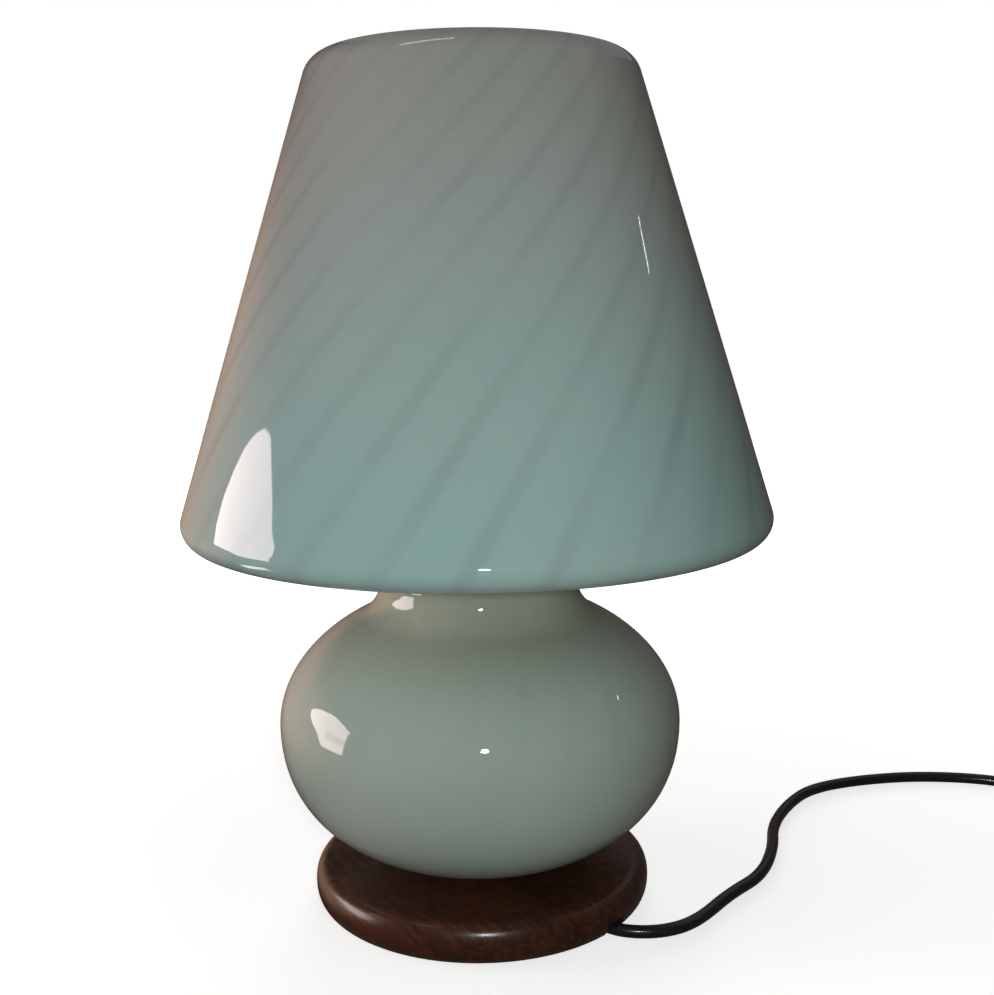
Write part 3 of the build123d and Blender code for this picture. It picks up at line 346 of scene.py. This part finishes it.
def lathe(name, outline, body, segments=256):
    """A closed turned piece from its half section, with the turn as U and the section as V."""
    vertices = [
        (r * sin(2 * pi * s / segments) * MM, -r * cos(2 * pi * s / segments) * MM, z * MM)
        for s in range(segments) for r, z in outline
    ]
    count = len(outline)
    faces, corners = [], []
    for s in range(segments):
        for k in range(count):
            left, right = s * count, (s + 1) % segments * count
            near, far = k, (k + 1) % count
            faces.append((left + near, right + near, right + far, left + far))
            corners += [(s / segments, k / count), ((s + 1) / segments, k / count)]
            corners += [((s + 1) / segments, (k + 1) / count), (s / segments, (k + 1) / count)]
    mesh = bpy.data.meshes.new(name)
    mesh.from_pydata(vertices, [], faces)
    uv = mesh.uv_layers.new(name="turned")
    for loop, corner in zip(uv.data, corners):
        loop.uv = corner
    mesh.shade_smooth()
    mesh.update()
    piece = bpy.data.objects.new(name, mesh)
    bpy.context.scene.collection.objects.link(piece)
    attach(piece, body)
    return piece


def above_foot(point):
    """A point of the inner face, lifted clear of the thick foot."""
    r, z = point
    return (max(r, GLASS_HOLE), max(z, FOOT_Z + FOOT_THICKNESS) if r < FOOT_RADIUS else z)


def distinct(points):
    """Points without repeats next to each other."""
    kept = points[:1]
    for point in points[1:]:
        if hypot(point[0] - kept[-1][0], point[1] - kept[-1][1]) > CLOSEST:
            kept.append(point)
    return kept


outer = distinct([(max(r, GLASS_HOLE), max(z, FOOT_Z)) for r, z in glass_face(0)])
inner = distinct([above_foot(point) for point in glass_face(GLASS_WALL)])
rim_centre = (SHOULDER_R - MOUTH_LIP, HEIGHT - GLASS_WALL / 2)
rim = arc(rim_centre, GLASS_WALL / 2, pi / 2, 3 * pi / 2)[1:-1]
glass = lathe("glass_opal", outer + rim + inner[::-1], "lamp")
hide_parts("glass_body", "glass_shade")

STRIPES = 25
STRIPE_EDGE, STRIPE_CORE = 3.2, 0.3  # degrees from a stripe's middle
STRIPE_OFFSET = 1.15  # degrees
STRIPE_FIT = 0.9756  # the lamp's size over that of the drawing on which the law below was read
STRIPE_LEVEL = 290.0  # height on that drawing where the twist is nought
STRIPE_LAW = (39.78, 10.67, 1.54)  # degrees per 100 mm of height, and its square and cube
# the aqua is the glass's own tone low in the shade; the grey towards the shade's top is painted shade, greyer
# and darker where less of the flash falls
AQUA, TOP_GREY_SHADE = (0.34, 0.53, 0.53), (0.41, 0.44, 0.43)
# the neck's colour is painted shade, darker where the shade hangs over it; the belly's colour is the glass's
# own tone
NECK_SHADE, BELLY = (0.37, 0.41, 0.33), (0.42, 0.53, 0.48)
STRIPE, CLOUD = (0.2, 0.24, 0.26), (0.5, 0.5, 0.46)


def stripe_share(paint):
    """How much of a stripe shows at a place: soft lines that wind up the lamp, in patches."""
    x, y, z = paint.axes()
    azimuth = paint.times(paint.math("ARCTAN2", x, paint.times(y, -1.0)), 180 / pi)
    # height above STRIPE_LEVEL in hundreds of the drawing's millimetres
    level = paint.math("MULTIPLY_ADD", z, 10 / STRIPE_FIT, -STRIPE_LEVEL / 100)
    first, second, third = STRIPE_LAW
    twist = paint.math("MULTIPLY_ADD", level, third, second)
    twist = paint.math("MULTIPLY_ADD", level, twist, first)
    twist = paint.times(level, twist)
    wobble = paint.math("MULTIPLY_ADD", paint.noise(paint.where((9, 9, 5)), 1.0, 1.0), 3.0, -1.5)
    spacing = 360 / STRIPES
    turned = paint.math("SUBTRACT", paint.math("ADD", azimuth, wobble), twist)
    phase = paint.math("DIVIDE", paint.math("ADD", turned, STRIPE_OFFSET), spacing)
    aside = paint.math("ABSOLUTE", paint.math("SUBTRACT", phase, paint.math("ROUND", phase)))
    line = paint.fade(aside, STRIPE_EDGE / spacing, STRIPE_CORE / spacing)
    patches = paint.fade(paint.noise(paint.where((13, 13, 9)), 1.0, 2.0), 0.35, 0.65, 0.3, 1.0)
    # the stripes fade out down the belly and weaken towards the shade's top
    low_part = paint.math("ADD", paint.fade(z, 0.08, 0.15, 0.04, 0.4), paint.fade(z, 0.16, 0.21, 0.0, 0.6))
    top_part = paint.fade(z, 0.28, 0.38, 0.28, 0.17)
    return paint.times(line, low_part, top_part, patches)


def opal_paint():
    """Opal glass: aqua low in the shade, with painted shade that greys and darkens it towards the top and on
    the neck under the shade, a greyer belly, and soft darker spiral stripes.
    """
    paint = Paint("opal_glass", Roughness=0.03, IOR=1.52, Subsurface_Weight=0.08, Subsurface_Scale=0.004)
    z = paint.axes()[2]
    # painted shade: greyer and darker towards the shade's top
    body = paint.mix(paint.fade(z, 0.2, 0.39), AQUA, TOP_GREY_SHADE)
    # painted shade: darker on the neck under the shade
    body = paint.mix(paint.fade(z, 0.19, 0.165), body, NECK_SHADE)
    body = paint.mix(paint.fade(z, 0.15, 0.115), body, BELLY)
    cloud = paint.fade(paint.noise(paint.where((8, 8, 6)), 1.0, 3.0, 0.6), 0.3, 0.7)
    body = paint.mix(paint.times(cloud, 0.2), body, CLOUD)
    paint.set("Base Color", paint.mix(stripe_share(paint), body, STRIPE))
    # blown glass is never quite even
    return paint.bump(paint.noise(paint.where((16, 16, 12)), 1.0, 1.0), 0.25, 0.5)


dress(glass, opal_paint())

# ---------------------------------------------------------------- turned wood
GRAIN_TURN = (0, radians(28), radians(-40))  # the grain dips towards the front right
WOOD_DARK, WOOD_RED = (0.017, 0.006, 0.003), (0.056, 0.018, 0.0085)
WOOD_STROKE, WOOD_PORE = (0.15, 0.044, 0.02), (0.006, 0.002, 0.0012)


def wood_paint():
    """Dark stained wood under gloss lacquer: broad figure, fine lighter strokes and open pores."""
    paint = Paint(
        "stained_wood", Roughness=0.45, Specular_IOR_Level=0.15, Coat_Weight=0.8, Coat_Roughness=0.24
    )
    figure = paint.noise(paint.where((9, 42, 42), GRAIN_TURN), 1.0, 3, 0.5)
    strokes = paint.fade(paint.noise(paint.where((42, 420, 420), GRAIN_TURN), 1.0, 2, 0.2), 0.42, 0.72)
    pores = paint.fade(paint.noise(paint.where((90, 1300, 1300), GRAIN_TURN), 1.0, 2), 0.6, 0.72)
    colour = paint.mix(paint.fade(figure, 0.3, 0.7), WOOD_DARK, WOOD_RED)
    colour = paint.mix(paint.times(strokes, 0.42), colour, WOOD_STROKE)
    colour = paint.mix(paint.times(pores, 0.6), colour, WOOD_PORE)
    paint.set("Base Color", colour)
    lacquer = paint.noise(paint.where((700, 700, 700)), 1.0, 3)
    relief = paint.math("MULTIPLY_ADD", pores, -0.6, paint.math("MULTIPLY_ADD", strokes, -0.3, lacquer))
    return paint.bump(relief, 0.12, 1.0)


dress(frame["nodes"]["wood_base"], wood_paint())


# ---------------------------------------------------------------- the other pieces
def grained(name, colour, second, scale, depth, stretch=(1, 1, 1), spread=0.12, **sockets):
    """A material whose colour, gloss and relief (in millimetres) vary with one grain."""
    paint = Paint(name, colour, **sockets)
    grain = paint.noise(paint.where(stretch), scale, 5)
    paint.set("Base Color", paint.mix(paint.fade(grain, 0.3, 0.7), colour, second))
    rough = paint.shader.inputs["Roughness"].default_value
    paint.set("Roughness", paint.fade(grain, 0.3, 0.7, max(rough - spread, 0.02), rough + spread))
    return paint.bump(grain, depth)


def metal(name, colour, second, scale, depth, roughness, **changes):
    """A grained metal."""
    return grained(name, colour, second, scale, depth, Metallic=1.0, Roughness=roughness, **changes)


def clear_paint():
    """Clear blown glass with a slight waviness."""
    paint = Paint("clear_glass", (1, 1, 1), Roughness=0.01, IOR=1.5, Transmission_Weight=1.0)
    return paint.bump(paint.noise(paint.where((30, 30, 30)), 1.0, 1), 0.04, 0.4)


BRUSHED = (1, 1, 40)
paints = {
    "felt": grained(
        "felt", (0.014, 0.028, 0.018), (0.045, 0.07, 0.05), 1500, 0.3, Roughness=0.95, Sheen_Weight=0.5
    ),
    "black_rubber": grained("rubber", (0.014, 0.014, 0.014), (0.03, 0.03, 0.03), 700, 0.04, Roughness=0.6),
    "zinc_steel": metal("zinc", (0.5, 0.5, 0.48), (0.66, 0.66, 0.63), 300, 0.02, 0.34),
    "satin_brass": metal("brass", (0.66, 0.44, 0.18), (0.8, 0.58, 0.28), 60, 0.015, 0.3, stretch=BRUSHED),
    "contact_brass": metal(
        "contact_brass", (0.72, 0.52, 0.22), (0.84, 0.66, 0.34), 200, 0.01, 0.2, spread=0.08
    ),
    "porcelain": grained(
        "porcelain", (0.8, 0.79, 0.75), (0.86, 0.85, 0.82), 60, 0.05,
        spread=0.05, Roughness=0.16, Coat_Weight=0.6,
    ),
    "cap_metal": metal("bulb_cap_metal", (0.66, 0.64, 0.6), (0.8, 0.78, 0.74), 260, 0.01, 0.24),
    "black_glass": grained(
        "vitrite", (0.01, 0.01, 0.012), (0.02, 0.02, 0.024), 90, 0.02, spread=0.04, Roughness=0.1
    ),
    "solder": metal("solder", (0.46, 0.46, 0.47), (0.62, 0.62, 0.62), 500, 0.08, 0.42),
    "tungsten": metal("tungsten", (0.2, 0.2, 0.21), (0.34, 0.34, 0.35), 900, 0.02, 0.5),
    "nylon": grained("nylon", (0.62, 0.61, 0.56), (0.7, 0.69, 0.64), 400, 0.03, Roughness=0.45),
    "brown_wire": grained("brown_wire", (0.1, 0.035, 0.015), (0.14, 0.05, 0.02), 500, 0.02, Roughness=0.3),
    "blue_wire": grained("blue_wire", (0.02, 0.09, 0.34), (0.03, 0.12, 0.42), 500, 0.02, Roughness=0.3),
    "black_plastic": grained(
        "moulded_black", (0.012, 0.012, 0.013), (0.024, 0.024, 0.026), 1800, 0.06, Roughness=0.5
    ),
    "rocker_plastic": grained(
        "rocker_black", (0.011, 0.011, 0.012), (0.018, 0.018, 0.02), 900, 0.015, spread=0.06, Roughness=0.24
    ),
    "nickel_pins": metal("nickel", (0.62, 0.59, 0.5), (0.74, 0.71, 0.62), 300, 0.01, 0.22, stretch=BRUSHED),
    "black_flex": flex_paint,
    "clear_glass": clear_paint(),
}
slot_of = {row["node"]: row["material_slot"] for row in frame["record"]["subparts"]}
for name, node in frame["nodes"].items():
    if slot_of[name] in paints:
        dress(node, paints[slot_of[name]])


# ---------------------------------------------------------------- floor, backdrop and light
def shine(name, colour, strength):
    """A plain emitting material."""
    material = bpy.data.materials.new(name)
    material.use_nodes = True
    tree = material.node_tree
    tree.nodes.clear()
    light = tree.nodes.new("ShaderNodeEmission")
    light.inputs[0].default_value, light.inputs[1].default_value = (*colour, 1), strength
    tree.links.new(light.outputs[0], tree.nodes.new("ShaderNodeOutputMaterial").inputs[0])
    return material


def staged(name, mesh, material, camera_sees=True, light_sees=True):
    """A piece of the stage."""
    piece = bpy.data.objects.new(name, mesh)
    mesh.materials.append(material)
    bpy.context.scene.collection.objects.link(piece)
    piece.visible_camera = camera_sees
    piece.visible_diffuse = piece.visible_glossy = piece.visible_transmission = light_sees
    return piece


def panel(name, corners):
    """A flat mesh through its corners, in metres."""
    mesh = bpy.data.meshes.new(name)
    mesh.from_pydata(corners, [], [tuple(range(len(corners)))])
    return mesh


STAGE = 20.0
FLOOR_LEVEL = -0.2 * MM
FLOOR_COLOUR = (0.74, 0.77, 0.79)
FLOOR_NEAR, FLOOR_FAR = 0.08, 0.9  # between them the floor passes into the backdrop, without a horizon


def floor_paint():
    """Pale floor that takes the lamp's shadow and glows like the backdrop further off."""
    paint = Paint("pale_floor", FLOOR_COLOUR, Roughness=0.85, Emission_Color=(1, 1, 1, 1))
    from_lamp = paint.add("VectorMath", {"operation": "LENGTH"}, i0=paint.where()).outputs["Value"]
    paint.set("Emission Strength", paint.fade(from_lamp, FLOOR_NEAR, FLOOR_FAR, 0.66, 1.0))
    return paint


floor_corners = [(x * STAGE, y * STAGE, FLOOR_LEVEL) for x, y in ((-1, -1), (1, -1), (1, 1), (-1, 1))]
staged("floor", panel("floor", floor_corners), floor_paint().material, light_sees=False)
bpy.ops.mesh.primitive_uv_sphere_add(segments=48, ring_count=24, radius=STAGE)
dome = bpy.context.object
dome.name = "backdrop"
dome.data.materials.append(shine("pale_backdrop", (1, 1, 1), 1.0))
dome.visible_diffuse = dome.visible_glossy = dome.visible_transmission = dome.visible_shadow = False

# what the gloss mirrors. The window and the slit of light opposite are drawn by the directions of
# their corners, as azimuth from -Y towards +X and elevation, in degrees
SEEN_FROM = Vector((-0.09, -0.09, 0.21))  # on the shade, near the window's image
SEEN_AWAY = 1.8


def towards(azimuth, elevation):
    """The place that the shade sees in a direction."""
    a, e = radians(azimuth), radians(elevation)
    return tuple(SEEN_FROM + Vector((sin(a) * cos(e), -cos(a) * cos(e), sin(e))) * SEEN_AWAY)


WINDOW = (
    (-80.5, -9), (-79.9, 12.6), (-86.3, 14.7), (-94.7, 16.3), (-99.4, 15.6), (-104.4, 13.9), (-109, 11.9),
    (-113.1, 9.3), (-115.5, 7.0), (-115.7, 5.4), (-113, 2.5), (-103, -2), (-98, -9),
)
SLIT = ((101.0, 24.6), (101.8, 24.6), (99.2, 22.3), (98.4, 22.3))
# a window sill's glint, close under the shade's edge
SILL = ((-0.194, -0.098, 0.122), (-0.194, -0.054, 0.122), (-0.186, -0.054, 0.106), (-0.186, -0.098, 0.106))
# a warm wall behind the window's side of the room, brightest beside the window, for the left edges
WALL_FROM, WALL_TO, WALL_LOW, WALL_HIGH = (-2.6, -0.4), (-0.1, 3.6), -1.5, 2.4
WALL = ((*WALL_FROM, WALL_LOW), (*WALL_FROM, WALL_HIGH), (*WALL_TO, WALL_HIGH), (*WALL_TO, WALL_LOW))
WALL_BRIGHTEST = 0.9  # metres towards the back
# a dim ceiling, and a bright strip on it that draws a thin line along the shade's shoulder
CEILING = ((-0.7, -0.3, 1.61), (2.0, -0.3, 1.61), (2.0, 3.0, 1.61), (-0.7, 3.0, 1.61))
STRIP = ((-0.84, -0.46, 1.6), (-0.16, -0.34, 1.6), (-0.16, -0.22, 1.6), (-0.84, -0.34, 1.6))


def wall_paint():
    """A glow that fades from the wall's brightest upright to its far end, upwards and downwards."""
    paint = Paint("warm_wall", (0, 0, 0), Roughness=1.0, Emission_Color=(1.0, 0.62, 0.42, 1))
    _, y, z = paint.axes()
    near = paint.fade(y, WALL_FROM[1], WALL_BRIGHTEST, 0.5, 0.95)
    far = paint.fade(y, WALL_BRIGHTEST, 3.0, 1.0, 0.2)
    up = paint.fade(z, 0.4, 1.1, 1.0, 0.12)
    down = paint.fade(z, -0.1, -1.2, 1.0, 0.0)
    paint.set("Emission Strength", paint.times(near, far, up, down))
    return paint


# name, corners, material, and whether it lights the lamp besides being mirrored
MIRRORED = (
    ("window", [towards(*corner) for corner in WINDOW], shine("daylight", (1.0, 0.82, 0.82), 8.3), True),
    ("slit", [towards(*corner) for corner in SLIT], shine("slit_light", (1, 1, 1), 12.0), True),
    ("sill", SILL, shine("sill_light", (1.0, 0.95, 0.82), 6.0), True),
    ("wall", WALL, wall_paint().material, False),
    ("ceiling", CEILING, shine("ceiling_light", (0.9, 0.88, 1.0), 0.28), False),
    ("strip", STRIP, shine("strip_light", (0.95, 0.97, 1.0), 5.0), False),
)
for name, corners, material, lights in MIRRORED:
    staged(name, panel(name, corners), material, camera_sees=False).visible_diffuse = lights


def lamp(name, place, target, size, power, colour, mirrored):
    """A round area light that the camera doesn't see."""
    data = bpy.data.lights.new(name, "AREA")
    data.shape, data.size, data.energy, data.color = "DISK", size, power, colour
    light = bpy.data.objects.new(name, data)
    way = Vector(target) - Vector(place)
    light.matrix_world = Matrix.Translation(place) @ way.to_track_quat("-Z", "Y").to_matrix().to_4x4()
    light.visible_camera = False
    light.visible_glossy = mirrored
    bpy.context.scene.collection.objects.link(light)


FLASH_ASIDE = 22.0  # millimetres to the right of the lens
FLASH_AT = CAMERA_AT + Vector((FLASH_ASIDE, 0, 0)) * MM
LAMP_MIDDLE, LAMP_TOP, BELLY_MIDDLE = (0, 0, 0.2), (0, 0, 0.4), (0, 0, 0.12)
# name, place, what it points at, size, watts, colour, and whether gloss mirrors it
LIGHTS = (
    ("flash", FLASH_AT, LAMP_MIDDLE, 0.04, 1.39, (0.95, 0.99, 0.95), True),
    ("back_room", (0.1, 1.7, 0.8), LAMP_MIDDLE, 1.2, 12, (1.0, 0.92, 0.82), False),
    ("overhead", (0, 0, 1.45), LAMP_TOP, 0.7, 0.9, (1.0, 0.93, 0.86), False),
    ("table_bounce", (0, -0.36, 0.01), BELLY_MIDDLE, 0.4, 0.06, (1.0, 0.97, 0.93), False),
)
for light in LIGHTS:
    lamp(*light)
ROOM_COLOUR, ROOM_STRENGTH = (1.0, 0.86, 0.72), 0.07
world = bpy.data.worlds.new("room")
world.use_nodes = True
background = world.node_tree.nodes["Background"]
background.inputs["Color"].default_value = (*ROOM_COLOUR, 1)
background.inputs["Strength"].default_value = ROOM_STRENGTH
bpy.context.scene.world = world
